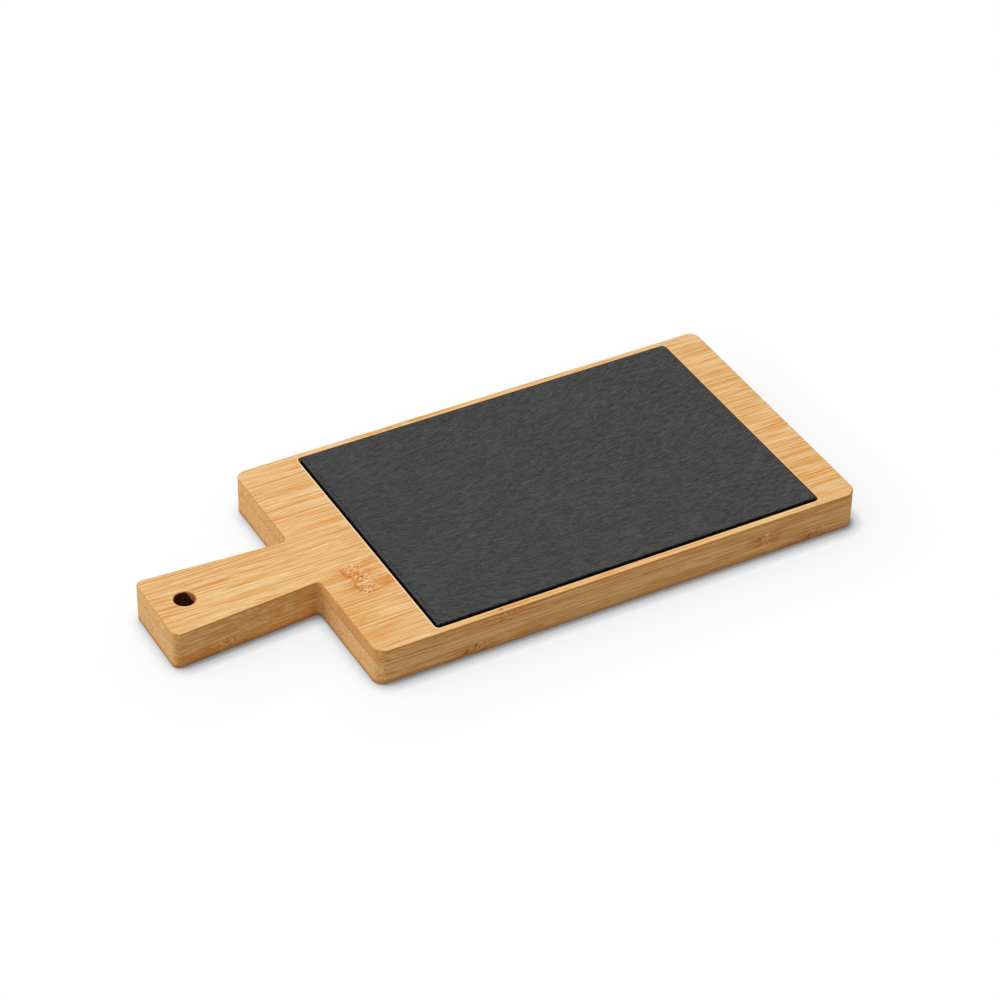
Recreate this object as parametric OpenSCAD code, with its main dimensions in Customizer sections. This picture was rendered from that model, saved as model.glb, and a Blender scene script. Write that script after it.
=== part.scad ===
// Serving board: a slate plate lying loose in a recess of a bamboo board with a flared handle.
// The bamboo board is glued up from three plies, each of seven strips that run its whole length.
// X runs along the board, away from the handle. Z is up. The origin is under the board's middle.

/* [Board] */
// Length of the body, without the handle
body_l = 201; // [150:1:320]
// Width of the body
body_w = 117; // [100:1:140]
// Thickness of one ply, a third of the board's
ply_t = 5.3; // [5:0.1:8]
// Radius of the body's four corners, seen from above
body_corner_r = 4.5; // [2:0.5:10]
// Rounding of the long edges round the top and bottom faces
arris_r = 0.7; // [0.4:0.1:1.5]

/* [Handle] */
// Length of the handle, from the body to its end
handle_l = 59; // [40:1:120]
// Width of the handle where it leaves the body
handle_neck_w = 26; // [20:0.5:50]
// Width of the handle at its end, measured as if its corners were sharp
handle_end_w = 34.5; // [24:0.5:50]
// Radius of the corners at the handle's end
handle_corner_r = 3; // [2:0.5:10]
// Radius of the inner corners where the handle meets the body
neck_r = 2; // [1.5:0.5:8]

/* [Hanging hole] */
// Diameter of the hole through the handle
hole_d = 8; // [4:0.5:14]
// Distance from the hole's centre to the handle's end
hole_inset = 12.2; // [9.2:0.2:30]
// Chamfer round the hole's upper and lower rims
hole_chamfer = 0.4; // [0.2:0.1:1]

/* [Strips] */
// Width of the strip along each side of the body, if the pattern of strips lay in the middle
edge_strip_w = 13.5; // [10:0.25:18]
// How far the pattern of strips lies off the middle, towards the front
strip_offset = 0.75; // [0:0.25:2.5]

/* [Recess] */
// Bamboo left between the recess and the body's handle side
handle_land = 24.7; // [15:0.1:50]
// Bamboo left between the recess and the body's far end
end_land = 15.5; // [8:0.1:40]
// Bamboo left along the front and along the back of the recess, if the recess lay in the middle
rail_w = 2.5; // [2.5:0.1:15]
// How far the recess lies off the middle, towards the front
recess_offset = 0.3; // [0:0.1:0.5]
// Radius of the recess's corners
recess_corner_r = 1.8; // [1.5:0.1:8]

/* [Slate] */
// Thickness of the slate plate
slate_t = 5; // [3.5:0.25:5]
// Height of the slate's top above the bamboo
slate_proud = 0.7; // [0.4:0.1:1.5]
// Gap between the slate and the recess's wall, all round
slate_gap = 0.9; // [0.4:0.1:1.3]
// Bevel along the slate's upper and lower edges
slate_bevel = 0.6; // [0.2:0.1:1.2]

/* [Hidden] */
$fn = 96;
// How far a cut runs past the face it cuts
overrun = 1;
// How far the handle's round corners reach past its straight sides, so that they cross cleanly
bite = 0.02;
// How far the rounding of a hollow corner turns on past the straight side, in degrees
cross_turn = 15;

PLIES = ["base", "core", "top"];
BASE = 0;
TOP = len(PLIES) - 1;
STRIP_COUNT = 7;
PLY_COLOURS = [[0.78, 0.56, 0.33], [0.82, 0.63, 0.40], [0.90, 0.73, 0.49]];
SLATE_COLOUR = [0.27, 0.27, 0.28];

board_t = len(PLIES) * ply_t;
overall_l = body_l + handle_l;
far_x = overall_l / 2;
end_x = -overall_l / 2;
neck_x = end_x + handle_l;
side_y = body_w / 2;
corner_y = side_y - body_corner_r;

// The strips between the two edge strips share the rest of the width equally
strip_w = (body_w - 2 * edge_strip_w) / (STRIP_COUNT - 2);

recess_depth = slate_t - slate_proud;
recess_z = board_t - recess_depth;
recess_l = body_l - handle_land - end_land;
recess_w = body_w - 2 * rail_w;
recess_place = [neck_x + handle_land + recess_l / 2, -recess_offset, recess_z];

slate_l = recess_l - 2 * slate_gap;
slate_w = recess_w - 2 * slate_gap;
slate_corner_r = recess_corner_r - slate_gap;

// The handle's sides are straight and spread towards its end by this angle each
flare = atan((handle_end_w - handle_neck_w) / 2 / handle_l);

// Half the handle's width at x, along the straight side
function flank_y(x) = handle_neck_w / 2 + (neck_x - x) * tan(flare);

// Centres of the round corners at the back: the hollow one at the neck and the outer one at the end
neck_centre = [neck_x - neck_r, flank_y(neck_x - neck_r) + (neck_r - bite) / cos(flare)];
tip_centre = [end_x + handle_corner_r, flank_y(end_x + handle_corner_r) - (handle_corner_r - bite) / cos(flare)];

// Width of the plank that the handle is cut from
plank_w = 2 * (max(flank_y(end_x), neck_centre.y) + overrun);

// Where strip number joint ends: the joints between strips, with the outer two past the board's sides
function joint_y(joint) =
    joint == 0 ? -side_y - overrun
    : joint == STRIP_COUNT ? side_y + overrun
    : (joint - STRIP_COUNT / 2) * strip_w - strip_offset;

function strip_name(ply, number) = str(PLIES[ply], "_ply_strip_", number);

// A rectangle with round corners, about the origin
module rounded_rectangle(l, w, r) {
    square([l - 2 * r, w], center = true);
    square([l, w - 2 * r], center = true);
    for (x = [-1, 1], y = [-1, 1])
        translate([x * (l / 2 - r), y * (w / 2 - r)]) circle(r);
}

// Both halves of something that is drawn for the back half only
module both_sides() {
    children();
    mirror([0, 1, 0]) children();
}

// What is sawn away behind the handle, round the hollow corner and along the side
module side_waste() {
    reach = handle_l + overrun;
    height = plank_w / 2 - neck_centre.y + overrun;
    translate(neck_centre) {
        circle(neck_r);
        translate([-neck_r, 0]) square([2 * neck_r, height]);
        rotate([0, 0, -flare]) translate([-reach, bite - neck_r]) square([reach, neck_r + height]);
    }
}

// What is cut off the back corner at the handle's end
module corner_waste() {
    reach = handle_corner_r + overrun;
    translate(tip_centre)
        difference() {
            translate([-reach, 0]) square([reach + handle_corner_r * sin(flare), reach]);
            circle(handle_corner_r);
        }
}

// The whole board seen from above: a body and a plank, which the handle is cut from
module board_outline() {
    difference() {
        union() {
            translate([neck_x + body_l / 2, 0]) rounded_rectangle(body_l, body_w, body_corner_r);
            translate([end_x, -plank_w / 2]) square([handle_l + overrun, plank_w]);
        }
        both_sides() {
            side_waste();
            corner_waste();
        }
    }
}

// What rounding takes off an edge: the edge is at the origin, the wood lies to the right and below
module arris_waste() {
    difference() {
        translate([-overrun, -arris_r]) square(arris_r + overrun);
        translate([arris_r, -arris_r]) circle(arris_r);
    }
}

// Rounds a straight edge from p to q, with the wood on the left hand
module round_line(p, q) {
    run = q - p;
    translate(p) rotate([0, 0, atan2(run.y, run.x)]) rotate([90, 0, 90])
        linear_extrude(norm(run)) arris_waste();
}

// Rounds the edge of an outer corner about the origin, turning from +X towards +Y
module round_corner(r, turn) {
    rotate_extrude(angle = turn) translate([r, 0]) mirror([1, 0]) arris_waste();
}

// Rounds the edge of an inner corner about the origin, turning from +X towards +Y
module round_hollow(r, turn) {
    rotate_extrude(angle = turn) translate([r, 0]) arris_waste();
}

// Rounds the straight edges of the outline, with the face at z = 0 and the wood below it
module straight_arrises() {
    flank_run = norm(tip_centre - neck_centre) + handle_corner_r / 2;
    round_line([far_x, -corner_y], [far_x, corner_y]);
    round_line([end_x, tip_centre.y], [end_x, -tip_centre.y]);
    both_sides() {
        round_line([far_x - body_corner_r, side_y], [neck_x + body_corner_r, side_y]);
        round_line([neck_x, corner_y], [neck_x, neck_centre.y]);
        translate(neck_centre) rotate([0, 0, -flare])
            round_line([0, bite - neck_r], [-flank_run, bite - neck_r]);
    }
}

// Rounds the edges of the outline's corners, with the face at z = 0 and the wood below it
module corner_arrises() {
    both_sides() {
        translate([far_x - body_corner_r, corner_y]) round_corner(body_corner_r, 90);
        translate([neck_x + body_corner_r, corner_y]) mirror([1, 0, 0]) round_corner(body_corner_r, 90);
        translate(neck_centre) mirror([0, 1, 0]) round_hollow(neck_r, 90 + flare + cross_turn);
        translate(tip_centre) mirror([1, 0, 0]) round_corner(handle_corner_r, 90 + flare);
    }
}

// Places a cut on the outer face of a ply: the top of the top ply, or the bottom of the base ply
module on_face(ply) {
    if (ply == TOP)
        translate([0, 0, board_t]) children();
    if (ply == BASE)
        mirror([0, 0, 1]) children();
}

// The hollow that the slate lies in
module recess() {
    translate(recess_place)
        linear_extrude(recess_depth + overrun) rounded_rectangle(recess_l, recess_w, recess_corner_r);
}

// The hole that the board hangs by, with both rims chamfered
module hanging_hole() {
    hole_r = hole_d / 2;
    translate([end_x + hole_inset, 0, 0]) {
        translate([0, 0, -overrun]) cylinder(h = board_t + 2 * overrun, r = hole_r);
        for (lift = [0, board_t])
            translate([0, 0, lift]) mirror([0, 0, lift > 0 ? 0 : 1])
                translate([0, 0, -hole_chamfer])
                    cylinder(h = hole_chamfer + overrun, r1 = hole_r, r2 = hole_r + hole_chamfer + overrun);
    }
}

// One bamboo strip. Strips are numbered from the front to the back.
module strip(ply, number) {
    y = joint_y(number - 1);
    color(PLY_COLOURS[ply])
        difference() {
            intersection() {
                translate([0, 0, ply * ply_t]) linear_extrude(ply_t) board_outline();
                translate([end_x - overrun, y, -overrun])
                    cube([overall_l + 2 * overrun, joint_y(number) - y, board_t + 2 * overrun]);
            }
            on_face(ply) straight_arrises();
            on_face(ply) corner_arrises();
            hanging_hole();
            if (ply == TOP)
                recess();
        }
}

// A section through the slate: a flat slab of the given length with its long edges bevelled
module slate_section(l) {
    polygon([
        [-l / 2 + slate_bevel, 0], [l / 2 - slate_bevel, 0],
        [l / 2, slate_bevel], [l / 2, slate_t - slate_bevel],
        [l / 2 - slate_bevel, slate_t], [-l / 2 + slate_bevel, slate_t],
        [-l / 2, slate_t - slate_bevel], [-l / 2, slate_bevel]
    ]);
}

// The slate plate, resting on the recess's floor
module slate_plate() {
    color(SLATE_COLOUR)
        translate(recess_place)
            intersection() {
                translate([0, 0, -overrun])
                    linear_extrude(slate_t + 2 * overrun)
                        rounded_rectangle(slate_l, slate_w, slate_corner_r);
                rotate([90, 0, 0]) linear_extrude(slate_w + 2 * overrun, center = true)
                    slate_section(slate_l);
                rotate([90, 0, 90]) linear_extrude(slate_l + 2 * overrun, center = true)
                    slate_section(slate_w);
            }
}

slate_plate();
for (ply = [BASE : TOP], number = [1 : STRIP_COUNT])
    strip(ply, number);
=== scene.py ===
import math
import random
from collections import namedtuple

import bpy
from mathutils import Matrix, Vector, noise
from mathutils.geometry import delaunay_2d_cdt

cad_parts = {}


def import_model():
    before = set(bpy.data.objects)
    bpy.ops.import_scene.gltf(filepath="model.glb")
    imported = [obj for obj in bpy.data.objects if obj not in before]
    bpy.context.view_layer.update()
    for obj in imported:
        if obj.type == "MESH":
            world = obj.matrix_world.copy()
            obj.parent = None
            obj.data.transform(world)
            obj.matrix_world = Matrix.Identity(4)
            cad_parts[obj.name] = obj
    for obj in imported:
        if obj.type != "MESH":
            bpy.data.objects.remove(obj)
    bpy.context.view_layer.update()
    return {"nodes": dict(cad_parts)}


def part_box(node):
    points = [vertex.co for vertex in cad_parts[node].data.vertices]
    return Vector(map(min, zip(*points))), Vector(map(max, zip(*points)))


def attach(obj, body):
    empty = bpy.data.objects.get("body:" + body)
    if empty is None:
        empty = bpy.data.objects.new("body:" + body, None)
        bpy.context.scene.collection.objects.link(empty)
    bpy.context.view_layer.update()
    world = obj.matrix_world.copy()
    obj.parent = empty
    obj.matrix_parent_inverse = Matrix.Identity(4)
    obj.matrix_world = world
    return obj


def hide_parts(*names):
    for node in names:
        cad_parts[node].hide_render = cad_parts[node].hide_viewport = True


# Dresses the serving board: the bamboo strips keep their solids and get a bamboo material each,
# and the slate plate is replaced by a split and chipped one. Lengths are in metres in the board's
# own frame, except inside the shaders, which work in millimetres.
MM = 0.001

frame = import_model()

# Camera, as the photograph was taken
CAMERA_AZIMUTH = math.radians(-29.65)
CAMERA_ELEVATION = math.radians(37.76)
CAMERA_ROLL = math.radians(1.31)
CAMERA_DISTANCE = 1.2996
CAMERA_AIM = Vector((0.01943, 0.01617, 0))
CAMERA_LENS = 124.06
SENSOR_WIDTH = 36

# Studio. The floor is one triangle, which has no seam: this is how far its corners reach
FLOOR_REACH = 24
FLOOR_COLOUR = (0.86, 0.86, 0.86, 1)
FLOOR_ROUGHNESS = 0.9
# The floor is seen as white, less shadows that fall towards the front right: how far each reaches,
# its strength, and how the light that leaves it leans from upright
FLOOR_SHADOWS = (
    (2.0 * MM, 0.29, (-0.70, 0.95)),
    (6.0 * MM, 0.80, (-0.40, 0.35)),
    (36.0 * MM, 0.24, (-0.40, 0.35)),
)
SHADOW_SAMPLES = 16
# The floor is never seen darker than this, right under the board's edge
FLOOR_DARKEST = 0.22
WORLD_LIGHT = 0.06
WORLD_SEEN = 1.0
SOFTBOX_PLACE = (0, 0, 1.5)
SOFTBOX_SIZE = 2.0
SOFTBOX_POWER = 27
FILL_PLACE = (-1.8, 0.5, 0.7)
FILL_SIZE = 1.2
FILL_POWER = 16
WHITE = (1, 1, 1, 1)

# Bamboo, as linear colours
PALE = (0.86, 0.58, 0.29, 1)
HONEY = (0.715, 0.335, 0.075, 1)
ORANGE = (0.64, 0.235, 0.028, 1)
CREAM = (0.95, 0.73, 0.43, 1)
# The next two are painted highlights: on the arrises and round the hole, and round the recess
HIGHLIGHT = (0.98, 0.61, 0.22, 1)
RIM_HIGHLIGHT = (0.95, 0.58, 0.22, 1)
RUST = (0.48, 0.14, 0.012, 1)
BROWN = (0.40, 0.10, 0.010, 1)
END_PALE = (0.78, 0.46, 0.18, 1)
END_DARK = (0.50, 0.235, 0.055, 1)
END_TAN = (0.52, 0.205, 0.035, 1)
SIDE_TINT = (0.87, 0.79, 0.59, 1)
GLUE = (0.40, 0.16, 0.04, 1)
# Painted shade along the foot, and in the hole
FOOT_SHADE = (0.40, 0.13, 0.015, 1)
HOLE_SHADE = (0.080, 0.012, 0.001, 1)
# How orange the bamboo is on the whole, from 0 for pale to 1 for honey
HONEY_SHARE = 0.46

# A pattern along the grain: its length and width in millimetres, and a shift that keeps it apart
# from the others
Grain = namedtuple("Grain", "length width shift")
FIBRES = Grain(36, 0.50, 0.0)
BUNDLES = Grain(26, 0.85, 11.0)
NARROW_BANDS = Grain(55, 1.7, 13.0)
BROAD_BANDS = Grain(90, 5.5, 31.0)
LINES = Grain(48, 0.70, 57.0)
DASHES = Grain(12, 0.60, 71.0)
KNUCKLE_STREAKS = Grain(11, 0.90, 83.0)
# Patterns that don't follow the grain, as bumps per millimetre: along the strip and across it. A
# strip's seed takes the place of its length in the last two
DRIFT_SCALES = (0.02, 0.05)
CURL_SCALES = (0.30, 0.35)
COLUMN_SCALES = (0.55, 0.80)
BOW_SCALES = (1.0, 0.3)
BROKEN_SCALES = (1.0, 0.55)
# The patches of a knuckle are this much finer than its pits
PATCH_FINENESS = 1.6
# Between which values of a pattern its marks come to show
LINE_CUT = (0.56, 0.66)
DASH_CUT = (0.60, 0.72)
STREAK_CUT = (0.44, 0.58)
PATCH_CUT = (0.50, 0.62)
BROKEN_CUT = (0.46, 0.56)
BUNDLE_CUT = (0.45, 0.20)
PIT_CUT = (0.34, 0.20)
# How far a pattern swings the colour between pale and honey, or on end faces between pale and dark
FIBRE_SWING = 4.6
NARROW_SWING = 0.8
BROAD_SWING = 0.8
END_FIBRE_SWING = 2.6
# How much of a strip's own tone is lost on level faces
LEVEL_TONE_LOSS = 0.6
# How strongly each mark shows, from 0 to 1
LINE_STRENGTH = 0.72
DASH_STRENGTH = 0.60
STREAK_STRENGTH = 0.95
PATCH_STRENGTH = 0.60
KNUCKLE_EDGE_STRENGTH = 0.85
PIT_STRENGTH = 0.85
END_DOT_STRENGTH = 0.75
# How dark the end faces are between their dots
END_DOT_BASE = 0.18
# Bamboo's roughness, what the end faces and the fibres add to it, and its bumps
ROUGHNESS = 0.40
END_ROUGHNESS = 0.12
FIBRE_ROUGHNESS = 0.22
FIBRE_BUMP = 0.5
BUNDLE_BUMP = -0.25
PIT_BUMP = -0.5
BAMBOO_RELIEF = 0.06 * MM
BAMBOO_SPECULAR = 0.28

# How far the grain wanders sideways, over the whole strip and beside a knuckle, and how much of that
# it also wanders up and down
GRAIN_DRIFT_MM = 4.0
GRAIN_CURL_MM = 2.6
CURL_REACH_MM = (9.0, 1.0)
GRAIN_RISE_SHARE = 0.5
# How far a knuckle bows along the strip, and how far its marks reach from it
KNUCKLE_BOW_MM = 6.0
STREAKS_BEGIN_MM = (-10.0, -3.0)
STREAKS_END_MM = (24.0, 4.0)
PATCHES_MM = (4.2, 2.2)
PITS_MM = (3.2, 1.8)
KNUCKLE_EDGE_MM = 3.2
KNUCKLE_EDGE_WIDTH_MM = (1.2, 0.3)
# Two seeds lie this far apart in the patterns
SEED_STEP = 197.0

# The plies, and the first and last numbers of the joints between them and between the strips
PLY_COUNT = 3
PLY_JOINTS = (1.0, 2.0)
STRIP_JOINTS = (0.0, 5.0)
# Glue: half the width over which a line fades in, how strong it is, and how it wavers. The upper
# line between plies is stronger than the lower one, and both are stronger end on
PLY_LINE_MM = (0.42, 0.08)
PLY_LINE_STRENGTH_STEP = 0.40
PLY_LINE_STRENGTH_START = -0.20
LONG_FACE_SHARE = 0.50
END_FACE_SHARE = 0.45
STRIP_LINE_MM = (0.22, 0.04)
STRIP_LINE_STRENGTH = 0.26
GLUE_WAVER_PER_MM = 0.35
GLUE_WAVER_MM = 0.5
GLUE_WAVER_STRENGTH = 2.4

# From which lean on a face counts as level, as an end face, or as an arris: how much it looks
# up or along the board, from 0 to 1
LEVEL_FACING = (0.4, 0.9)
END_FACING = (0.55, 0.9)
ARRIS_RISE, ARRIS_FALL = (0.10, 0.40), (0.99, 0.80)
HIGHLIGHT_RISE, HIGHLIGHT_FALL = (0.12, 0.35), (0.99, 0.95)
SHADE_LINE_FACING = (0.40, 0.15)
# A long side is a face that hardly looks along the board, and an arris with a painted highlight looks
# sideways
LONG_SIDE_FACING = (0.35, 0.15)
LIT_ARRIS_FACING = (0.2, 0.4)
# Painted highlights and shade on the arrises, painted highlights round the recess and the hole, and painted
# shade along the foot: how strongly they show, and over which distances in millimetres they fade in
ARRIS_SHADE_STRENGTH = 0.60
SHADE_LINE_STRENGTH = 0.75
SHADE_LINE_FROM_TOP_MM = (1.3, 0.9)
RIM_MM = (0.70, 0.25)
RIM_HIGHLIGHT_STRENGTH = 0.95
HOLE_RIM_MM = (0.9, 0.5)
HOLE_RIM_HIGHLIGHT_STRENGTH = 0.45
RIM_FROM_TOP_MM = (2.6, 0.6)
RIM_BLEND_MM = 0.5
UPPER_HALF_BLEND_MM = 1
FOOT_SHADE_MM = (3.2, 0.2)
FOOT_SHADE_STRENGTH = 0.65
HANDLE_FOOT_SHADE_STRENGTH = 0.22
HANDLE_BLEND_MM = 2
# Painted shade on the hole's wall: the depth at which it begins, how the painted lit patch that it leaves
# clear deepens towards +X, and over which distances it fades in
HOLE_SHADE_FROM_MM = 0.2
LIT_PATCH_MM = 7.1
LIT_PATCH_TURN = 0.495
HOLE_SHADE_FADE_MM = (-0.2, 0.5)
HOLE_WALL_MM = (0.3, 0.1)
HOLE_SHADE_STRENGTH = 0.96
HOLE_WALL_TINT_STRENGTH = 0.6

# How much more orange than usual each ply is, and the strips that stand out from their ply
PLY_TONES = {"base": 0.05, "core": -0.10, "top": 0.05}
STRIP_TONES = {
    ("top", 1): 0.28,
    ("top", 2): 0.28,
    ("top", 3): 0.15,
    ("top", 4): -0.10,
    ("top", 5): -0.10,
    ("top", 6): -0.12,
    ("top", 7): -0.16,
    ("core", 1): -0.05,
    ("core", 3): 0.35,
    ("base", 3): 0.45,
}
TONE_SPREAD = 0.15
# How dark the ends of the strips are, from 0 to 1; the others are at OTHER_END_TONE
END_TONES = {("top", 1): 0.60, ("top", 2): 0.60, ("top", 3): 0.30}
OTHER_END_TONE = 0.03
# Where the handle meets the body, and the hanging hole
HANDLE_X_MM = -71.0
HOLE_X_MM = -117.8
HOLE_R_MM = 4.0
# The recess reaches this far past the slate, and has corners of this radius
RECESS_GAP_MM = 0.9
RECESS_CORNER_MM = 1.8
# Where the photograph shows knuckles, as x in millimetres; other strips get one at random
SEEN_KNUCKLES = {
    ("top", 1): (-17.9, 250),
    ("top", 3): (-57.3, 150),
    ("base", 1): (-32, 112.9),
    ("core", 1): (89.8, -150),
    ("base", 3): (-108.8, 90),
}
KNUCKLE_REACH_MM = (-45, 95)
KNUCKLE_SPACING_MM = 175
# The seed of all the bamboo's random draws, and between which numbers each strip's own seed lies
BAMBOO_SEED = 7
SEED_REACH = (1, 9)

# Slate, as linear colours
SLATE_DARK = (0.038, 0.038, 0.038, 1)
SLATE_LIGHT = (0.080, 0.080, 0.080, 1)
SLATE_SCRATCH = (0.130, 0.130, 0.134, 1)
SLATE_SIDE_SHADE = (0.003, 0.003, 0.003, 1)
SLATE_CHIP = (0.020, 0.020, 0.021, 1)
# The slate's patterns, and how far each swings its colour between dark and light
SLATE_FINE = Grain(3.2, 0.34, 0.0)
SLATE_COARSE = Grain(14, 2.0, 21.0)
SLATE_SCRATCHES = Grain(4, 0.40, 47.0)
FINE_SWING = 3.6
COARSE_SWING = 0.4
CLOUD_SWING = 0.35
GRIT_SWING = 2.2
GRIT_PER_MM = 2.4
CLOUDS_PER_MM = 0.04
SCRATCH_CUT = (0.62, 0.74)
SCRATCH_STRENGTH = 0.55
# The streaks' angle, how they fan out per millimetre from a place along the board, and how far they
# wander
SLATE_STREAK_ANGLE = math.radians(6)
STREAK_FAN = 0.0023
STREAK_FAN_X_MM = 34.0
STREAK_DRIFT_MM = 5.0
STREAK_DRIFT_PER_MM = 0.02
# How the streaks bend towards the front corner by the handle: how far, over which reach from which
# x, and how much of that at the board's middle line and per millimetre towards the back
BEND_MM = 24.0
BEND_REACH_MM = 45.0
BEND_START_MM = -43.0
BEND_PER_MM = -0.008
BEND_AT_MIDDLE = 0.5
# The slate's edge towards the handle, which has dark chips
SLATE_EDGE_X_MM = -45.1
EDGE_CHIPS_PER_MM = (0.9, 0.45)
EDGE_CHIPS_LAYER = 5.0
CHIPS_BEGIN_MM = (0.3, 0.8)
CHIPS_END_MM = (2.4, 1.3)
CHIPS_CUT = (0.40, 0.58)
CHIPS_STRENGTH = 0.55
# Painted shade on the sides below this height, and on those towards the front and back over all their
# height
SLATE_LIT_Z_MM = 15.95
SLATE_LIT_FADE_MM = 0.2
SIDE_FACING = (0.75, 0.35)
FRONT_FACING = (0.3, 0.7)
SLATE_ROUGHNESS = 0.85
SLATE_SHINE = -0.12
SLATE_RELIEF = 0.10 * MM
SLATE_GRIT_BUMP = 0.5
SLATE_FINE_BUMP = 0.7
SLATE_SPECULAR = 0.08

# Where the loose slate lies in its recess, off the middle
SLATE_REST = Vector((0.25 * MM, 0.2 * MM, 0))
# The split slate's outline: how far apart its points lie, and its corners
EDGE_STEP = 0.35 * MM
CORNER_R = 0.9 * MM
CORNER_STEPS = 7
SHARP_ANGLE = math.radians(50)
# Its chipped edge: how far it is set in and how far down it reaches, with wider chips here and there
CHIP_INSET = 0.34 * MM
CHIP_DROP = 0.45 * MM
CHIP_WIDTH_MM = 5
CHIP_START = 0.28
CHIP_GAIN = 2.4
# How the edge frays: the strength, the width in millimetres and the layer of each pattern
INSET_FRAY = ((0.9, 1.1, 3), (0.5, 0.5, 4))
DROP_FRAY = ((0.7, 1.7, 6),)
LEAST_INSET = 0.2
LEAST_DROP = 0.3
# Its rough sides
SIDE_ROUGHNESS = 0.10 * MM
SIDE_BUMP_MM = 1.4
# The rows of points down the edge. In the chipped rows at the top and bottom a share of the chip's
# depth is used up, and the sawn rows lie at a share of the thickness. Each has its own roughness
CHIPPED_SHARES = (0.0, 0.45, 1.0)
SAWN_ROWS = ((0.42, 43), (0.62, 57))
TOP_CHIPS, BOTTOM_CHIPS = 20, 71
TOP_SIDE, BOTTOM_SIDE = 31, 83
CHIP_CURVE = 1.4
DROP_CURVE = 1.2
# The split faces: how deep they are split, and the layer of each
RELIEF = 0.20 * MM
TOP_FACE, BOTTOM_FACE = 0, 90
# They have waves, flat terraces with jagged edges, and ripples. The widths are in millimetres, and
# all but the waves are drawn out along the streaks
WAVE_MM, WAVE_SHARE = 60, 0.50
TERRACE_MM, TERRACE_LAYER, TERRACE_DRAW, TERRACE_SHARE = 16, 5, 3, 0.25
TERRACE_LEVELS = 2.5
TERRACE_SLOPE = 4
TERRACE_TOP = 3.5
JAG_MM, JAG_LAYER, JAG_DRAW, JAG_LEVELS = 3, 9, 2, 0.25
RIPPLE_MM, RIPPLE_LAYER, RIPPLE_DRAW, RIPPLE_SHARE = 1.6, 13, 3, 0.25
# How far apart the points of the split faces lie: over the face, and in rings inside its edge
CAP_STEP = 1.1 * MM
UNDERSIDE_STEP = 2.2 * MM
CAP_MARGIN = 2.6 * MM
CAP_CORNER = 2.5 * MM
CAP_RINGS = ((0.45 * MM, 1), (1.1 * MM, 2))
CAP_SCATTER = 0.3
CAP_SEED = 3
CDT_KEEP_INSIDE = 1
CDT_EPSILON = 1e-9


class Nodes:
    """Adds nodes to a tree one call at a time. Each call returns an output to feed to the next."""

    def __init__(self, tree):
        self.tree = tree

    def add(self, kind, inputs=None, output=0, **settings):
        node = self.tree.nodes.new(kind)
        for name, value in settings.items():
            setattr(node, name, value)
        for name, value in (inputs or {}).items():
            if isinstance(value, bpy.types.NodeSocket):
                self.tree.links.new(value, node.inputs[name])
            else:
                node.inputs[name].default_value = value
        return node.outputs[output]

    def math(self, operation, *values, clamp=False):
        inputs = dict(enumerate(values))
        return self.add("ShaderNodeMath", inputs, operation=operation, use_clamp=clamp)

    def times(self, product, *values, clamp=False):
        """The product of all the values."""
        for value in values:
            product = self.math("MULTIPLY", product, value, clamp=clamp)
        return product

    def centred(self, value):
        return self.math("SUBTRACT", value, 0.5)

    def swing(self, pattern, amount, base, clamp=False):
        """Moves base up and down by a pattern that lies about 0.5."""
        return self.math("MULTIPLY_ADD", self.centred(pattern), amount, base, clamp=clamp)

    def vector(self, operation, *values):
        return self.add("ShaderNodeVectorMath", dict(enumerate(values)), operation=operation)

    def scaled(self, vector, factor):
        return self.add("ShaderNodeVectorMath", {"Vector": vector, "Scale": factor}, operation="SCALE")

    def length(self, vector):
        return self.add("ShaderNodeVectorMath", {0: vector}, output=1, operation="LENGTH")

    def xyz(self, x, y, z):
        return self.add("ShaderNodeCombineXYZ", {"X": x, "Y": y, "Z": z})

    def parts(self, vector):
        return self.add("ShaderNodeSeparateXYZ", {"Vector": vector}).node.outputs

    def place_mm(self):
        """Where the shaded point is in the board's frame, in millimetres."""
        return self.scaled(self.add("ShaderNodeTexCoord", output="Object"), 1 / MM)

    def facing(self):
        """How much the face looks along X, Y and Z, from 0 to 1 each."""
        normal = self.add("ShaderNodeTexCoord", output="Normal")
        return [self.math("ABSOLUTE", part) for part in self.parts(normal)]

    def step(self, value, low, high):
        """Rises smoothly from 0 at low to 1 at high, or falls if high is the lower."""
        inputs = {"Value": value, "From Min": low, "From Max": high}
        if not isinstance(low, bpy.types.NodeSocket) and low > high:
            inputs = {"Value": value, "From Min": high, "From Max": low, "To Min": 1.0, "To Max": 0.0}
        return self.add("ShaderNodeMapRange", inputs, interpolation_type="SMOOTHSTEP")

    def band(self, value, rise, fall):
        """Rises over one pair of values and falls again over another."""
        return self.times(self.step(value, *rise), self.step(value, *fall))

    def mix(self, factor, a, b, blend="MIX"):
        """Mixes two colours. The node has sockets of one name for several types, so they are told
        apart by identifier."""
        inputs = {"Factor_Float": factor, "A_Color": a, "B_Color": b}
        node = self.tree.nodes.new("ShaderNodeMix")
        node.data_type = "RGBA"
        node.blend_type = blend
        for socket in node.inputs:
            value = inputs.get(socket.identifier)
            if isinstance(value, bpy.types.NodeSocket):
                self.tree.links.new(value, socket)
            elif value is not None:
                socket.default_value = value
        return next(socket for socket in node.outputs if socket.identifier == "Result_Color")

    def tint(self, share, strength, colour, tint):
        """Lays a tint over a colour where share is above 0."""
        return self.mix(self.times(share, strength), colour, tint)

    def noise(self, vector, detail=2.0, roughness=0.5):
        """Noise about 0.5. Detail is how many finer layers it has, roughness how strong they are."""
        inputs = {"Vector": vector, "Scale": 1.0, "Detail": detail, "Roughness": roughness}
        return self.add("ShaderNodeTexNoise", inputs)

    def cells(self, vector):
        """Distance from the middle of the nearest cell."""
        return self.add("ShaderNodeTexVoronoi", {"Vector": vector, "Scale": 1.0})


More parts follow.
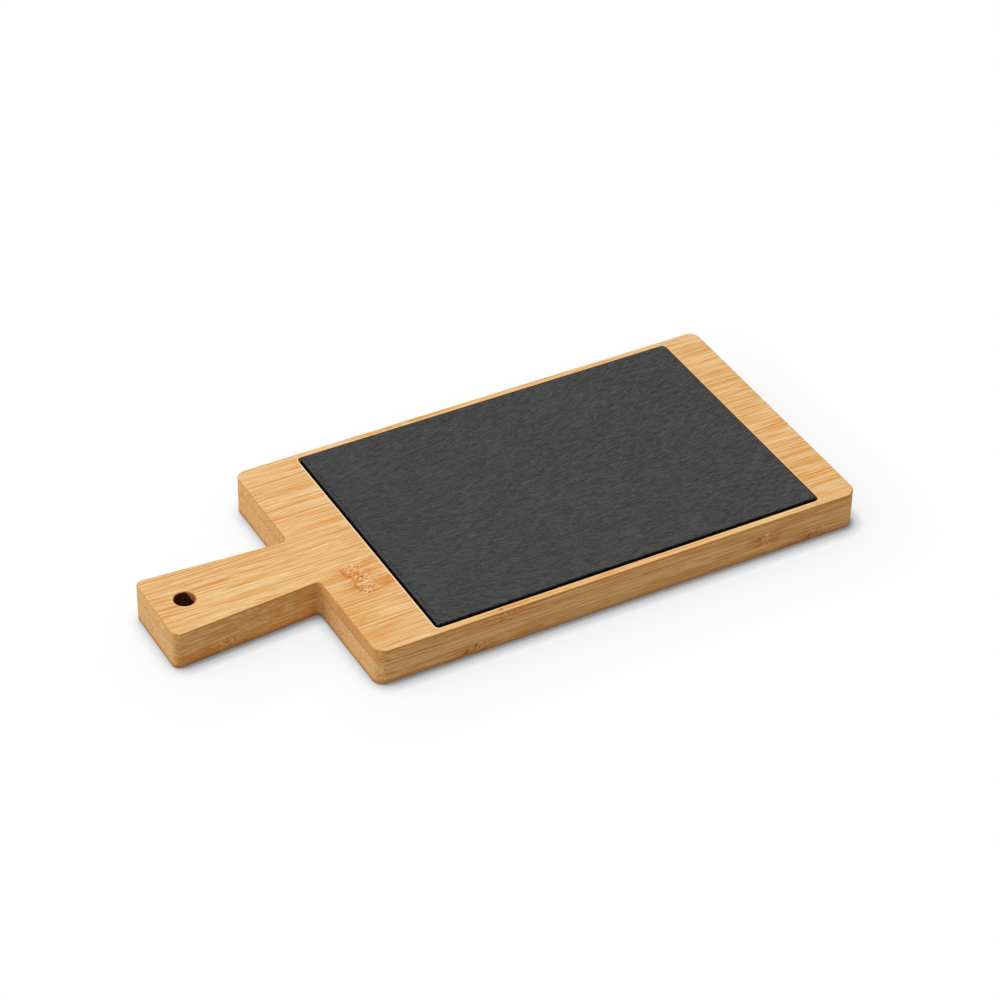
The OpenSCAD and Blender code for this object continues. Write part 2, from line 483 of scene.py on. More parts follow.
def group_tree(name, inputs, outputs):
    """A node group: {input name: default} and {output name: socket type}."""
    tree = bpy.data.node_groups.new(name, "ShaderNodeTree")
    for key, default in inputs.items():
        socket = tree.interface.new_socket(key, in_out="INPUT", socket_type="NodeSocketFloat")
        socket.default_value = default
    for key, kind in outputs.items():
        tree.interface.new_socket(key, in_out="OUTPUT", socket_type=kind)
    return tree, tree.nodes.new("NodeGroupInput").outputs, tree.nodes.new("NodeGroupOutput").inputs


class Bamboo:
    """A node group for bamboo split along X. Its bundles of fibre show end on as dots and lengthways
    as fine lines. It works in millimetres, and plan holds the sizes it needs from the board."""

    INPUTS = {"Seed": 0.0, "Tone": 0.0, "End Tone": 0.0, "Knuckle 1": 1000.0, "Knuckle 2": 1000.0}
    OUTPUTS = {"Color": "NodeSocketColor", "Roughness": "NodeSocketFloat", "Height": "NodeSocketFloat"}

    def __init__(self, plan):
        self.plan = plan
        self.tree, self.given, result = group_tree("bamboo", self.INPUTS, self.OUTPUTS)
        n = self.n = Nodes(self.tree)
        self.x, self.y, self.z = n.parts(n.place_mm())
        self.facing = n.facing()
        self.end_face = n.step(self.facing[0], *END_FACING)
        self.level_face = n.step(self.facing[2], *LEVEL_FACING)
        self.side_tint = n.mix(self.level_face, SIDE_TINT, WHITE)
        self.seed_x = n.times(self.given["Seed"], SEED_STEP)
        self.off_hole = n.length(n.xyz(n.math("SUBTRACT", self.x, HOLE_X_MM), self.y, 0.0))
        self.find_knuckle()
        self.bend_grain()

        self.fibres = n.noise(self.along(FIBRES), 2.0, 0.6)
        self.bundles = n.step(n.cells(self.along(BUNDLES)), *BUNDLE_CUT)
        colour = n.mix(self.end_face, self.knuckle(self.long_grain()), self.end_grain())
        colour = n.mix(self.glue(), colour, GLUE)
        # The last passes paint light and shade: highlights and shade on the arrises, highlights round the
        # recess and the hole, shade along the foot and in the hole
        colour = self.hole_shade(self.foot_shade(self.rim_highlights(self.arris_light_and_shade(colour))))

        rough = n.math("MULTIPLY_ADD", self.end_face, END_ROUGHNESS, ROUGHNESS)
        rough = n.math("MULTIPLY_ADD", self.fibres, FIBRE_ROUGHNESS, rough)
        height = n.math("MULTIPLY_ADD", self.bundles, BUNDLE_BUMP, n.times(self.fibres, FIBRE_BUMP))
        height = n.math("MULTIPLY_ADD", self.pits, PIT_BUMP, height)
        for name, value in (("Color", colour), ("Roughness", rough), ("Height", height)):
            self.tree.links.new(value, result[name])

    def across(self, x, scales, shift=0.0):
        """Coordinates for a pattern that doesn't follow the grain."""
        n = self.n
        return n.xyz(n.math("MULTIPLY_ADD", x, scales[0], shift), n.times(self.y, scales[1]),
                     n.times(self.z, scales[1]))

    def along(self, grain):
        """Coordinates for a pattern that follows the grain."""
        n = self.n
        shift = n.math("ADD", self.seed_x, grain.shift)
        return n.xyz(n.math("MULTIPLY_ADD", self.x, 1 / grain.length, shift),
                     n.times(self.y_grain, 1 / grain.width), n.times(self.z_grain, 1 / grain.width))

    def find_knuckle(self):
        """Distance along X from the nearer knuckle, which isn't quite straight across the strip."""
        n = self.n
        bow = n.centred(n.noise(self.across(self.given["Seed"], BOW_SCALES), 3))
        from_1, from_2 = (
            n.math("MULTIPLY_ADD", bow, KNUCKLE_BOW_MM, n.math("SUBTRACT", self.x, self.given[name]))
            for name in ("Knuckle 1", "Knuckle 2")
        )
        nearer = n.math("LESS_THAN", n.math("ABSOLUTE", from_1), n.math("ABSOLUTE", from_2))
        self.from_knuckle = n.add("ShaderNodeMix", {"Factor": nearer, "A": from_2, "B": from_1})

    def bend_grain(self):
        """The grain wanders a little along the strip, and more beside a knuckle."""
        n = self.n
        drift = n.centred(n.noise(self.across(self.x, DRIFT_SCALES, self.seed_x), 1))
        curl = n.centred(n.noise(self.across(self.x, CURL_SCALES), 2))
        near = n.step(n.math("ABSOLUTE", self.from_knuckle), *CURL_REACH_MM)
        drift = n.math("MULTIPLY_ADD", n.times(curl, GRAIN_CURL_MM), near, n.times(drift, GRAIN_DRIFT_MM))
        self.y_grain = n.math("ADD", self.y, drift)
        self.z_grain = n.math("MULTIPLY_ADD", drift, GRAIN_RISE_SHARE, self.z)

    def long_grain(self):
        """Pale wood with honey bands, orange lines and cream dashes. Upright faces are browner."""
        n = self.n
        tone = n.times(self.given["Tone"], n.math("MULTIPLY_ADD", self.level_face, -LEVEL_TONE_LOSS, 1.0))
        honey = n.swing(self.fibres, FIBRE_SWING, n.math("ADD", tone, HONEY_SHARE))
        honey = n.swing(n.noise(self.along(NARROW_BANDS), 1.0), NARROW_SWING, honey)
        honey = n.swing(n.noise(self.along(BROAD_BANDS), 1.0), BROAD_SWING, honey, clamp=True)
        colour = n.mix(honey, PALE, HONEY)
        lines = n.step(n.noise(self.along(LINES), 1.0), *LINE_CUT)
        colour = n.tint(lines, LINE_STRENGTH, colour, ORANGE)
        dashes = n.step(n.noise(self.along(DASHES), 1.0), *DASH_CUT)
        colour = n.tint(dashes, DASH_STRENGTH, colour, CREAM)
        return n.mix(1.0, colour, self.side_tint, "MULTIPLY")

    def end_grain(self):
        """Paler wood with the bundles as dark dots."""
        n = self.n
        dots = n.swing(self.fibres, END_FIBRE_SWING, END_DOT_BASE)
        dots = n.math("MULTIPLY_ADD", self.bundles, END_DOT_STRENGTH, dots, clamp=True)
        return n.mix(self.given["End Tone"], n.mix(dots, END_PALE, END_DARK), END_TAN)

    def knuckle(self, colour):
        """A column of pale patches and pits across the strip, with orange streaks running out of it."""
        n = self.n
        # The streaks run further towards +X on level faces, and towards -X on upright ones
        ahead = n.times(self.from_knuckle, n.math("MULTIPLY_ADD", self.level_face, 2.0, -1.0))
        streaks = n.step(n.noise(self.along(KNUCKLE_STREAKS), 2, 0.6), *STREAK_CUT)
        streaks = n.times(streaks, n.band(ahead, STREAKS_BEGIN_MM, STREAKS_END_MM))
        off = n.math("ABSOLUTE", self.from_knuckle)
        column = self.across(self.from_knuckle, COLUMN_SCALES, self.seed_x)
        patches = n.step(n.noise(n.scaled(column, PATCH_FINENESS), 1), *PATCH_CUT)
        patches = n.times(patches, n.step(off, *PATCHES_MM))
        self.pits = n.times(n.step(n.cells(column), *PIT_CUT), n.step(off, *PITS_MM))
        # The near side of the column has a broken rust-coloured edge
        off_edge = n.math("ABSOLUTE", n.math("ADD", self.from_knuckle, KNUCKLE_EDGE_MM))
        broken = n.step(n.noise(self.across(self.given["Seed"], BROKEN_SCALES), 1), *BROKEN_CUT)
        edge = n.times(n.step(off_edge, *KNUCKLE_EDGE_WIDTH_MM), broken)
        marks = (
            (streaks, ORANGE, STREAK_STRENGTH),
            (patches, CREAM, PATCH_STRENGTH),
            (edge, RUST, KNUCKLE_EDGE_STRENGTH),
            (self.pits, BROWN, PIT_STRENGTH),
        )
        for share, tint, strength in marks:
            colour = n.tint(share, strength, colour, n.mix(1.0, tint, self.side_tint, "MULTIPLY"))
        return colour

    def nearest_joint(self, place, spacing, first, last):
        """Number of the joint nearest to a place, from first to last."""
        n = self.n
        number = n.math("ROUND", n.times(place, 1 / spacing))
        return n.math("MINIMUM", n.math("MAXIMUM", number, first), last)

    def glue(self):
        """Thin wavering lines of glue between the plies, and fainter ones between the strips."""
        n = self.n
        seen_from_above = n.xyz(n.times(self.x, GLUE_WAVER_PER_MM), n.times(self.y, GLUE_WAVER_PER_MM), 0.0)
        waver = n.centred(n.noise(seen_from_above, 2))
        line = self.nearest_joint(self.z, self.plan.ply_t, *PLY_JOINTS)
        off = n.math("SUBTRACT", n.math("MULTIPLY_ADD", waver, GLUE_WAVER_MM, self.z),
                     n.times(line, self.plan.ply_t))
        strength = n.math("MULTIPLY_ADD", line, PLY_LINE_STRENGTH_STEP, PLY_LINE_STRENGTH_START)
        end_on = n.math("MULTIPLY_ADD", self.end_face, END_FACE_SHARE, LONG_FACE_SHARE)
        strength = n.times(strength, end_on)
        strength = n.times(strength, n.math("MULTIPLY_ADD", waver, GLUE_WAVER_STRENGTH, 1.0), clamp=True)
        plies = n.times(n.step(n.math("ABSOLUTE", off), *PLY_LINE_MM), strength)
        from_first = n.math("SUBTRACT", self.y, self.plan.first_joint)
        joint = self.nearest_joint(from_first, self.plan.strip_w, *STRIP_JOINTS)
        off = n.math("SUBTRACT", from_first, n.times(joint, self.plan.strip_w))
        strips = n.times(n.step(n.math("ABSOLUTE", off), *STRIP_LINE_MM), STRIP_LINE_STRENGTH)
        return n.math("MAXIMUM", plies, strips)

    def off_rim(self):
        """Distance outside the recess's rim, as seen from above."""
        n = self.n
        low, high = self.plan.recess_low, self.plan.recess_high
        middle, half = (low + high) / 2, (high - low) / 2
        off = []
        for k, place in enumerate((self.x, self.y)):
            from_middle = n.math("ABSOLUTE", n.math("SUBTRACT", place, middle[k]))
            off.append(n.math("SUBTRACT", from_middle, half[k] - RECESS_CORNER_MM))
        corner = n.xyz(n.math("MAXIMUM", off[0], 0.0), n.math("MAXIMUM", off[1], 0.0), 0.0)
        inside = n.math("MINIMUM", n.math("MAXIMUM", *off), 0.0)
        return n.math("SUBTRACT", n.math("ADD", n.length(corner), inside), RECESS_CORNER_MM)

    def arris_light_and_shade(self, colour):
        """Painted light and shade on the arrises: a painted highlight on the long upper one with a painted
        dark line below it, and painted shade in orange on the others.
        """
        n = self.n
        end_on, sideways, up = self.facing
        top = self.plan.top
        upper_half = n.step(self.z, top / 2, top / 2 + UPPER_HALF_BLEND_MM)
        long_side = n.times(n.step(end_on, *LONG_SIDE_FACING), upper_half)
        shaded_arrises = n.times(n.band(up, ARRIS_RISE, ARRIS_FALL), n.math("SUBTRACT", 1.0, long_side))
        colour = n.tint(shaded_arrises, ARRIS_SHADE_STRENGTH, colour, ORANGE)
        lit_arris = n.times(n.step(sideways, *LIT_ARRIS_FACING), long_side)
        colour = n.mix(n.times(lit_arris, n.band(up, HIGHLIGHT_RISE, HIGHLIGHT_FALL)), colour, HIGHLIGHT)
        below = n.times(n.step(self.z, *(top - depth for depth in SHADE_LINE_FROM_TOP_MM)),
                        n.step(up, *SHADE_LINE_FACING))
        return n.tint(n.times(lit_arris, below), SHADE_LINE_STRENGTH, colour, RUST)

    def rim_highlights(self, colour):
        """A painted highlight round the recess's rim, palest on the handle's side, and a fainter painted
        highlight round the hole.
        """
        n = self.n
        near_top = n.step(self.z, *(self.plan.top - depth for depth in RIM_FROM_TOP_MM))
        level_top = n.times(self.level_face, near_top)
        low_x = self.plan.recess_low.x
        tint = n.mix(n.step(self.x, low_x + RIM_BLEND_MM, low_x), RIM_HIGHLIGHT, CREAM)
        colour = n.tint(n.times(n.step(self.off_rim(), *RIM_MM), level_top), RIM_HIGHLIGHT_STRENGTH, colour, tint)
        hole_rim_highlight = n.step(self.off_hole, *(HOLE_R_MM + width for width in HOLE_RIM_MM))
        return n.tint(n.times(hole_rim_highlight, level_top), HOLE_RIM_HIGHLIGHT_STRENGTH, colour, HIGHLIGHT)

    def foot_shade(self, colour):
        """Painted shade along the foot all round, darker along the handle, which lies in the body's shade.
        """
        n = self.n
        handle = n.step(self.x, HANDLE_X_MM + HANDLE_BLEND_MM, HANDLE_X_MM - HANDLE_BLEND_MM)
        strength = n.math("MULTIPLY_ADD", handle, HANDLE_FOOT_SHADE_STRENGTH, FOOT_SHADE_STRENGTH)
        upright = n.math("SUBTRACT", 1.0, self.level_face)
        return n.mix(n.times(n.step(self.z, *FOOT_SHADE_MM), upright, strength), colour, FOOT_SHADE)

    def hole_shade(self, colour):
        """Painted shade on the hole's wall over a rust-brown tint of the whole wall, leaving a painted lit
        patch near the rim towards +X.
        """
        n = self.n
        sunk = n.math("MINIMUM", self.z, n.math("SUBTRACT", self.plan.top, self.z))
        towards_x = n.math("DIVIDE", n.math("SUBTRACT", self.x, HOLE_X_MM),
                           n.math("MAXIMUM", self.off_hole, 1.0))
        lit_to = n.math("MULTIPLY_ADD", n.math("SUBTRACT", towards_x, LIT_PATCH_TURN),
                          LIT_PATCH_MM, HOLE_SHADE_FROM_MM)
        lit_to = n.math("MAXIMUM", lit_to, HOLE_SHADE_FROM_MM)
        wall_shade = n.step(n.math("SUBTRACT", sunk, lit_to), *HOLE_SHADE_FADE_MM)
        wall = n.step(self.off_hole, *(HOLE_R_MM + width for width in HOLE_WALL_MM))
        colour = n.tint(wall, HOLE_WALL_TINT_STRENGTH, colour, RUST)
        return n.tint(n.times(wall, wall_shade), HOLE_SHADE_STRENGTH, colour, HOLE_SHADE)


def new_material(name):
    """An empty node material, its Nodes and its surface shader."""
    material = bpy.data.materials.new(name)
    material.use_nodes = True
    material.node_tree.nodes.clear()
    n = Nodes(material.node_tree)
    shader = material.node_tree.nodes.new("ShaderNodeBsdfPrincipled")
    output = material.node_tree.nodes.new("ShaderNodeOutputMaterial")
    material.node_tree.links.new(shader.outputs["BSDF"], output.inputs["Surface"])
    return material, n, shader


def finish_surface(n, shader, colour, rough, height, depth):
    """Links a pattern to a shader, with a bump of the given depth in metres."""
    bump = n.add("ShaderNodeBump", {"Height": height, "Distance": depth, "Strength": 1.0})
    n.tree.links.new(colour, shader.inputs["Base Color"])
    n.tree.links.new(rough, shader.inputs["Roughness"])
    n.tree.links.new(bump, shader.inputs["Normal"])


def bamboo_material(ply, number, group, draw):
    """A strip's own material: the shared bamboo group with its own seed, tone and knuckles."""
    material, n, shader = new_material(f"bamboo_{ply}_{number}")
    node = n.tree.nodes.new("ShaderNodeGroup")
    node.node_tree = group
    tone = PLY_TONES[ply] + STRIP_TONES.get((ply, number), draw.uniform(-TONE_SPREAD, TONE_SPREAD))
    first = draw.uniform(*KNUCKLE_REACH_MM)
    knuckles = SEEN_KNUCKLES.get((ply, number), (first, first - KNUCKLE_SPACING_MM))
    node.inputs["Seed"].default_value = draw.uniform(*SEED_REACH)
    node.inputs["Tone"].default_value = tone
    node.inputs["End Tone"].default_value = END_TONES.get((ply, number), OTHER_END_TONE)
    node.inputs["Knuckle 1"].default_value, node.inputs["Knuckle 2"].default_value = knuckles
    finish_surface(n, shader, node.outputs["Color"], node.outputs["Roughness"],
                   node.outputs["Height"], BAMBOO_RELIEF)
    shader.inputs["Specular IOR Level"].default_value = BAMBOO_SPECULAR
    return material


Plan = namedtuple("Plan", "top ply_t first_joint strip_w recess_low recess_high")


def measure_plan():
    """The sizes that the bamboo's pattern needs, in millimetres, from the solids."""
    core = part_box("core_ply_strip_1")
    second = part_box("core_ply_strip_2")
    ply_t = (core[1].z - core[0].z) / MM
    first_joint = second[0].y / MM
    low, high = (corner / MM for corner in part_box("slate_plate"))
    gap = Vector((RECESS_GAP_MM, RECESS_GAP_MM, 0))
    strip_w = second[1].y / MM - first_joint
    return Plan(PLY_COUNT * ply_t, ply_t, first_joint, strip_w, low - gap, high + gap)


def dress_strips():
    """Gives each bamboo strip a material of its own."""
    group = Bamboo(measure_plan()).tree
    draw = random.Random(BAMBOO_SEED)
    for name, node in sorted(frame["nodes"].items()):
        if "_ply_strip_" in name:
            ply, number = name.split("_ply_strip_")
            node.data.materials.clear()
            node.data.materials.append(bamboo_material(ply, int(number), group, draw))


def pattern(x, y, across_mm, layer=0.0):
    """Smooth noise from about -1 to 1 whose bumps are about across_mm wide."""
    return noise.noise(Vector((x / (across_mm * MM), y / (across_mm * MM), layer)))


def relief(x, y, layer):
    """How far the split face lies below its highest plane at x, y, as a share of RELIEF."""
    turn = SLATE_STREAK_ANGLE
    u = x * math.cos(turn) + y * math.sin(turn)
    v = y * math.cos(turn) - x * math.sin(turn)
    wave = 0.5 + 0.5 * pattern(x, y, WAVE_MM, layer)
    level = TERRACE_LEVELS * (0.5 + 0.5 * pattern(u / TERRACE_DRAW, v, TERRACE_MM, layer + TERRACE_LAYER))
    level += JAG_LEVELS * pattern(u / JAG_DRAW, v, JAG_MM, layer + JAG_LAYER)
    # The terraces are flat, with short slopes between them
    terrace = (math.floor(level) + min(1, (level % 1) * TERRACE_SLOPE)) / TERRACE_TOP
    ripple = 0.5 + 0.5 * pattern(u / RIPPLE_DRAW, v, RIPPLE_MM, layer + RIPPLE_LAYER)
    return min(1, max(0, WAVE_SHARE * wave + TERRACE_SHARE * terrace + RIPPLE_SHARE * ripple))


def direction(degrees):
    """Unit vector that lies this far round from +X towards +Y."""
    angle = math.radians(degrees)
    return Vector((math.cos(angle), math.sin(angle)))


def slate_outline(low, high):
    """Points round the slate's outline and the outward direction at each, anticlockwise."""
    r = CORNER_R
    # The centre of each corner's arc, and the direction in which the arc begins
    corners = (
        (Vector((high.x - r, low.y + r)), -90),
        (Vector((high.x - r, high.y - r)), 0),
        (Vector((low.x + r, high.y - r)), 90),
        (Vector((low.x + r, low.y + r)), 180),
    )
    points, outward = [], []
    for k, (centre, start) in enumerate(corners):
        for j in range(CORNER_STEPS + 1):
            way = direction(start + 90 * j / CORNER_STEPS)
            points.append(centre + way * r)
            outward.append(way)
        way = direction(start + 90)
        begin = centre + way * r
        end = corners[(k + 1) % len(corners)][0] + way * r
        count = int((end - begin).length / EDGE_STEP)
        for j in range(1, count):
            points.append(begin.lerp(end, j / count))
            outward.append(way)
    return points, outward


def inner_rings(ring, low, high):
    """Points a little inside the ring, which keep the triangles along the edge small."""
    middle = (low + high) / 2
    points = []
    for inset, stride in CAP_RINGS:
        for p in ring[::stride]:
            towards = Vector((middle.x - p.x, middle.y - p.y))
            shift = Vector((math.copysign(min(inset, abs(towards.x)), towards.x),
                            math.copysign(min(inset, abs(towards.y)), towards.y)))
            near_x = min(p.x - low.x, high.x - p.x) < CAP_CORNER
            near_y = min(p.y - low.y, high.y - p.y) < CAP_CORNER
            points.append(p + Vector((shift.x if near_x else 0, shift.y if near_y else 0)))
    return points


def scattered_grid(low, high, step):
    """Points over the rest of the face, on a grid whose points are each moved a little."""
    draw = random.Random(CAP_SEED)
    span_x = high.x - low.x - 2 * CAP_MARGIN
    span_y = high.y - low.y - 2 * CAP_MARGIN
    nx, ny = int(span_x / step), int(span_y / step)
    points = []
    for i in range(nx + 1):
        for j in range(ny + 1):
            x = low.x + CAP_MARGIN + span_x * i / nx
            y = low.y + CAP_MARGIN + span_y * j / ny
            x += draw.uniform(-CAP_SCATTER, CAP_SCATTER) * step
            y += draw.uniform(-CAP_SCATTER, CAP_SCATTER) * step
            points.append(Vector((x, y)))
    return points


def split_cap(ring, low, high, step):
    """Triangles that fill a ring of points: the points, the triples of their numbers, and for each
    point its number in the ring or None."""
    count = len(ring)
    points = ring + inner_rings(ring, low, high) + scattered_grid(low, high, step)
    edges = [(k, (k + 1) % count) for k in range(count)]
    made, _, faces, origin, _, _ = delaunay_2d_cdt(points, edges, [], CDT_KEEP_INSIDE, CDT_EPSILON)
    back = [given[0] if given else None for given in origin]
    points = [made[k] if back[k] is None else points[back[k]] for k in range(len(made))]
    return points, faces, [k if k is not None and k < count else None for k in back]


def frayed(p, layer, patterns, least):
    """Varies along the edge about 1, and is no less than least."""
    value = 1
    for strength, width_mm, apart in patterns:
        value += strength * pattern(p.x, p.y, width_mm, layer + apart)
    return max(least, value)


def ragged(p, layer):
    """How far the chipped edge is set in at p, and how far down the chip reaches."""
    chip = max(0.0, pattern(p.x, p.y, CHIP_WIDTH_MM, layer) - CHIP_START) * CHIP_GAIN
    inset = frayed(p, layer, INSET_FRAY, LEAST_INSET)
    drop = frayed(p, layer, DROP_FRAY, LEAST_DROP)
    return CHIP_INSET * (inset + chip), CHIP_DROP * (drop + chip)


def sawn(p, layer):
    """How far the rough side is set in at p."""
    return SIDE_ROUGHNESS * (1 + pattern(p.x, p.y, SIDE_BUMP_MM, layer))


def chipped_row(outline, share, chips, side, height):
    """A row of points on a chipped edge. Height gives z from a place and the chip's depth there."""
    row = []
    for p, way in outline:
        inset, drop = ragged(p, chips)
        place = p - way * (sawn(p, side) + inset * (1 - share) ** CHIP_CURVE)
        row.append((place.x, place.y, height(place, drop * share ** DROP_CURVE)))
    return row


def slate_rows(low, high):
    """Rows of points round the plate, from the rim of its top down to the rim of its underside."""
    outline = list(zip(*slate_outline(low, high)))

    def top_height(place, drop):
        return high.z - (drop + RELIEF * relief(place.x, place.y, TOP_FACE))

    def bottom_height(place, drop):
        return low.z + drop + RELIEF * relief(place.x, place.y, BOTTOM_FACE)

    rows = [chipped_row(outline, share, TOP_CHIPS, TOP_SIDE, top_height) for share in CHIPPED_SHARES]
    for share, layer in SAWN_ROWS:
        places = [p - way * sawn(p, layer) for p, way in outline]
        rows.append([(p.x, p.y, high.z - (high.z - low.z) * share) for p in places])
    rows += [chipped_row(outline, share, BOTTOM_CHIPS, BOTTOM_SIDE, bottom_height)
             for share in reversed(CHIPPED_SHARES)]
    return rows


def slate_mesh(low, high):
    """A plate of split slate: gently uneven faces, chipped edges and rough sawn sides."""
    rows = slate_rows(low, high)
    count = len(rows[0])
    vertices = [point for row in rows for point in row]
    faces = []
    for r in range(len(rows) - 1):
        for k in range(count):
            a, b = r * count + k, r * count + (k + 1) % count
            faces.append((b, a, a + count, b + count))
    caps = (
        (0, high.z, -1, TOP_FACE, CAP_STEP),
        ((len(rows) - 1) * count, low.z, 1, BOTTOM_FACE, UNDERSIDE_STEP),
    )
    for first, z_base, sign, layer, step in caps:
        ring = [Vector(vertices[first + k][:2]) for k in range(count)]
        points, triangles, on_ring = split_cap(ring, low, high, step)
        numbers = []
        for p, k in zip(points, on_ring):
            if k is None:
                numbers.append(len(vertices))
                vertices.append((p.x, p.y, z_base + sign * RELIEF * relief(p.x, p.y, layer)))
            else:
                numbers.append(first + k)
        for triangle in triangles:
            corners = [numbers[k] for k in triangle]
            faces.append(corners if sign < 0 else corners[::-1])

    mesh = bpy.data.meshes.new("slate")
    mesh.from_pydata(vertices, [], faces)
    mesh.validate()
    mesh.polygons.foreach_set("use_smooth", [True] * len(mesh.polygons))
    mesh.set_sharp_from_angle(angle=SHARP_ANGLE)
    return mesh


def slate_plate():
    """The split slate, in place of its plain solid."""
    low, high = (corner + SLATE_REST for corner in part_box("slate_plate"))
    mesh = slate_mesh(low, high)
    mesh.materials.append(slate_material())
    slate = bpy.data.objects.new("split_slate", mesh)
    bpy.context.scene.collection.objects.link(slate)
    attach(slate, "slate")
    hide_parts("slate_plate")


def streak_lines(n, x, y):
    """A coordinate that is the same all along a streak of the slate."""
    seen_from_above = n.xyz(n.times(x, STREAK_DRIFT_PER_MM), n.times(y, STREAK_DRIFT_PER_MM), 0.0)
    slow = n.centred(n.noise(seen_from_above, 1))
    bend = n.math("EXPONENT", n.math("MULTIPLY_ADD", x, -1 / BEND_REACH_MM, BEND_START_MM / BEND_REACH_MM))
    bend = n.times(bend, n.math("MULTIPLY_ADD", y, BEND_PER_MM, BEND_AT_MIDDLE, clamp=True))
    fan = n.math("MULTIPLY_ADD", x, -STREAK_FAN, 1 + STREAK_FAN * STREAK_FAN_X_MM)
    v = n.math("MULTIPLY_ADD", bend, -BEND_MM, n.times(y, fan))
    v = n.math("MULTIPLY_ADD", slow, STREAK_DRIFT_MM, v)
    return n.math("MULTIPLY_ADD", x, -math.tan(SLATE_STREAK_ANGLE), v)


def slate_material():
    """Matt slate: fine streaks that bend towards one corner, faint clouds, pale scratches, and painted
    shade on the sides.
    """
    material, n, shader = new_material("slate")
    place_mm = n.place_mm()
    x, y, z = n.parts(place_mm)
    _, sideways, up = n.facing()
    v = streak_lines(n, x, y)

    def along(grain):
        return n.xyz(n.math("MULTIPLY_ADD", x, 1 / grain.length, grain.shift),
                     n.times(v, 1 / grain.width), n.times(z, 1 / grain.width))

    fine = n.noise(along(SLATE_FINE), 2, 0.6)
    coarse = n.noise(along(SLATE_COARSE), 2, 0.55)
    clouds = n.noise(n.xyz(n.times(x, CLOUDS_PER_MM), n.times(y, CLOUDS_PER_MM), z), 2)
    grit = n.noise(n.scaled(place_mm, GRIT_PER_MM), 1, 0.6)
    tone = n.swing(fine, FINE_SWING, 0.5)
    tone = n.swing(coarse, COARSE_SWING, tone)
    tone = n.swing(clouds, CLOUD_SWING, tone)
    tone = n.swing(grit, GRIT_SWING, tone, clamp=True)
    colour = n.mix(tone, SLATE_DARK, SLATE_LIGHT)
    scratches = n.step(n.noise(along(SLATE_SCRATCHES), 1, 0.6), *SCRATCH_CUT)
    colour = n.tint(scratches, SCRATCH_STRENGTH, colour, SLATE_SCRATCH)
    from_edge = n.math("SUBTRACT", x, SLATE_EDGE_X_MM)
    chip_x, chip_y = (n.times(place, scale) for place, scale in zip((x, y), EDGE_CHIPS_PER_MM))
    chips = n.step(n.noise(n.xyz(chip_x, chip_y, EDGE_CHIPS_LAYER), 1), *CHIPS_CUT)
    chips = n.times(chips, n.band(from_edge, CHIPS_BEGIN_MM, CHIPS_END_MM))
    colour = n.tint(chips, CHIPS_STRENGTH, colour, SLATE_CHIP)
    # Painted shade on the slate's sides: below the lit height, and on the faces towards the front and back
    low = n.step(z, SLATE_LIT_Z_MM + SLATE_LIT_FADE_MM, SLATE_LIT_Z_MM - SLATE_LIT_FADE_MM)
    side_shade = n.math("MAXIMUM", low, n.step(sideways, *FRONT_FACING))
    colour = n.tint(n.step(up, *SIDE_FACING), side_shade, colour, SLATE_SIDE_SHADE)
    rough = n.math("MULTIPLY_ADD", tone, SLATE_SHINE, SLATE_ROUGHNESS)
    height = n.math("MULTIPLY_ADD", grit, SLATE_GRIT_BUMP, n.times(fine, SLATE_FINE_BUMP))
    finish_surface(n, shader, colour, rough, height, SLATE_RELIEF)
    shader.inputs["Specular IOR Level"].default_value = SLATE_SPECULAR
    return material


def seen_directly(n):
    """1 for a ray from the camera or from a gloss, 0 for one that carries soft light."""
    rays = n.add("ShaderNodeLightPath").node.outputs
    return n.math("MAXIMUM", rays["Is Camera Ray"],
                  n.math("MAXIMUM", rays["Is Glossy Ray"], rays["Is Transmission Ray"]))


def floor_material():
    """A pale floor for soft light, which is seen as white with the board's shadow on it."""
    material, n, shader = new_material("floor")
    shader.inputs["Base Color"].default_value = FLOOR_COLOUR
    shader.inputs["Roughness"].default_value = FLOOR_ROUGHNESS
    shader.inputs["Specular IOR Level"].default_value = 0.0
    brightness = 1.0
    for reach, strength, lean in FLOOR_SHADOWS:
        lean = n.vector("NORMALIZE", n.xyz(*lean, 1.0))
        open_sky = n.add("ShaderNodeAmbientOcclusion", {"Distance": reach, "Normal": lean}, output=1,
                         samples=SHADOW_SAMPLES)
        hidden = n.math("SUBTRACT", 1.0, open_sky)
        brightness = n.math("SUBTRACT", brightness, n.times(hidden, strength))
    brightness = n.math("MAXIMUM", brightness, FLOOR_DARKEST)
    glow = n.add("ShaderNodeEmission", {"Color": WHITE, "Strength": brightness})
    surface = n.add("ShaderNodeMixShader", {0: seen_directly(n), 1: shader.outputs["BSDF"], 2: glow})
    n.tree.links.new(surface, n.tree.nodes["Material Output"].inputs["Surface"])
    return material


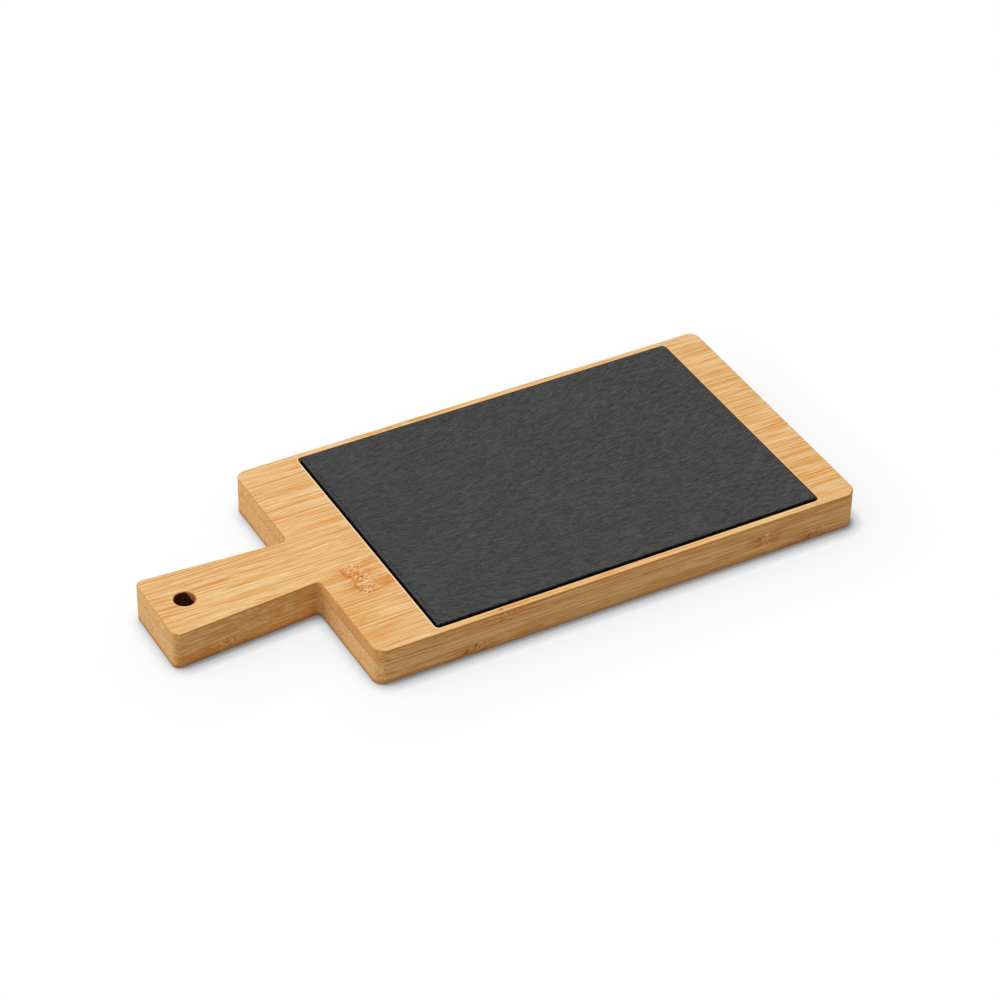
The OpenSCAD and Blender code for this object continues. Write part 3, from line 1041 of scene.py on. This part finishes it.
def floor():
    """One big triangle under the board."""
    mesh = bpy.data.meshes.new("floor")
    turns = [math.tau * k / 3 for k in range(3)]
    corners = [(FLOOR_REACH * math.cos(turn), FLOOR_REACH * math.sin(turn), 0) for turn in turns]
    mesh.from_pydata(corners, [], [(0, 1, 2)])
    mesh.materials.append(floor_material())
    plane = bpy.data.objects.new("floor", mesh)
    bpy.context.scene.collection.objects.link(plane)


def world():
    """A soft dome of dim light, which is seen as white."""
    studio = bpy.data.worlds.new("studio")
    bpy.context.scene.world = studio
    studio.use_nodes = True
    studio.node_tree.nodes.clear()
    n = Nodes(studio.node_tree)
    inputs = {"Value": seen_directly(n), "To Min": WORLD_LIGHT, "To Max": WORLD_SEEN}
    strength = n.add("ShaderNodeMapRange", inputs)
    background = n.add("ShaderNodeBackground", {"Color": WHITE, "Strength": strength})
    output = studio.node_tree.nodes.new("ShaderNodeOutputWorld")
    studio.node_tree.links.new(background, output.inputs["Surface"])


def area_light(name, place, size, energy):
    """A square softbox at place that points at the board's middle."""
    data = bpy.data.lights.new(name, "AREA")
    data.shape = "SQUARE"
    data.size = size
    data.energy = energy
    light = bpy.data.objects.new(name, data)
    bpy.context.scene.collection.objects.link(light)
    light.location = place
    light.rotation_mode = "QUATERNION"
    light.rotation_quaternion = (-Vector(place)).to_track_quat("-Z", "Y")


def camera():
    """The photograph's camera, from its direction, roll, distance and lens."""
    a, e = CAMERA_AZIMUTH, CAMERA_ELEVATION
    back = Vector((math.sin(a) * math.cos(e), -math.cos(a) * math.cos(e), math.sin(e)))
    right = Vector((math.cos(a), math.sin(a), 0))
    up = back.cross(right)
    axes = Matrix((right, up, back)).transposed() @ Matrix.Rotation(CAMERA_ROLL, 3, "Z")
    data = bpy.data.cameras.new("camera")
    data.lens = CAMERA_LENS
    data.sensor_width = SENSOR_WIDTH
    view = bpy.data.objects.new("camera", data)
    bpy.context.scene.collection.objects.link(view)
    view.matrix_world = Matrix.Translation(CAMERA_AIM + back * CAMERA_DISTANCE) @ axes.to_4x4()
    bpy.context.scene.camera = view


dress_strips()
slate_plate()
floor()
world()
area_light("softbox", SOFTBOX_PLACE, SOFTBOX_SIZE, SOFTBOX_POWER)
area_light("fill", FILL_PLACE, FILL_SIZE, FILL_POWER)
camera()
bpy.context.scene.view_settings.view_transform = "Standard"
